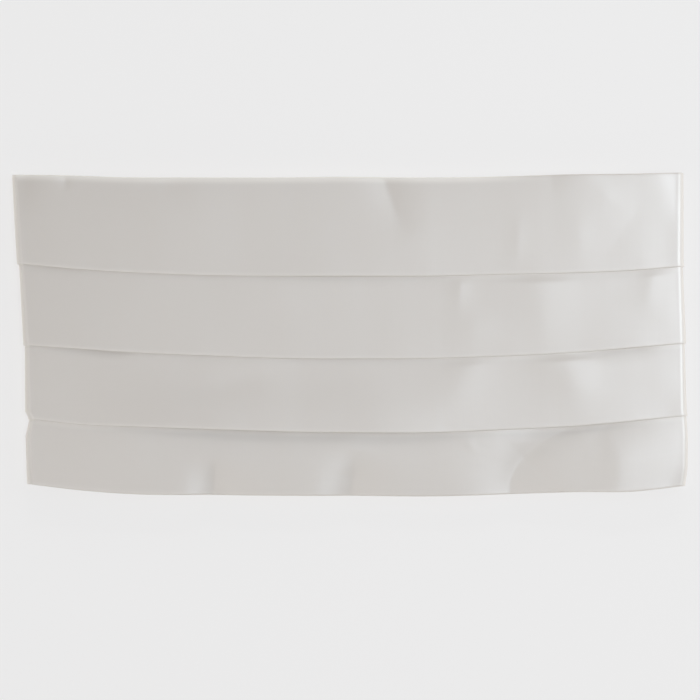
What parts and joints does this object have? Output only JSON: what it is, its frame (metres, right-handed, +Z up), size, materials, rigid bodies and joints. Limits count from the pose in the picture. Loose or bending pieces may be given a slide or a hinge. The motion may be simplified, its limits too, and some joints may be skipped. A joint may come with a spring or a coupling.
{
  "type": "cummerbund",
  "caption": "Pleated satin cummerbund lying flat, its tapered wings and closing strap folded in behind the front.",
  "frame": {"origin": "under the middle of the folded garment, on the surface it lies on", "axes": "+Z up out of the pleated front, +Y to its upper edge (the pleats open the other way), +X along the waist"},
  "size_m": [0.2715, 0.1298, 0.0103],
  "materials": {
    "satin": "off-white heavy satin with a soft sheen",
    "webbing": "matt off-white woven webbing",
    "nickel": "satin nickel plate"
  },
  "bodies": {
    "root": {"pleat_1": "satin", "pleat_2": "satin", "pleat_3": "satin", "pleat_4": "satin", "folded_wings": "satin", "strap": "webbing", "strap_slider": "nickel", "strap_hook": "nickel"}
  },
  "joints": []
}
